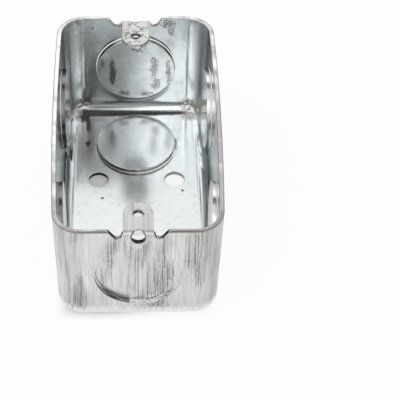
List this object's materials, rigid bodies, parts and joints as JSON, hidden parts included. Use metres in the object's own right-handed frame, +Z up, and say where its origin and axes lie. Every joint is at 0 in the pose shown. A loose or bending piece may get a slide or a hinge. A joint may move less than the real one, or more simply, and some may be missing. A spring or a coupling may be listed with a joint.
{
  "type": "handy box",
  "caption": "Open drawn-steel electrical box with rounded corners, inward device ears at both ends, round knockouts in the walls and floor, and floor mounting holes.",
  "frame": {"origin": "middle of the underside of the floor", "axes": "+Z up out of the open side, +Y along the long walls towards the back end, +X to the right"},
  "size_m": [0.0562, 0.1016, 0.0445],
  "materials": {
    "zinc_plated_steel": "bright zinc plate over drawn sheet, with upright draw marks on the outside of the walls"
  },
  "bodies": {
    "root": {"box": "zinc_plated_steel"}
  },
  "joints": []
}
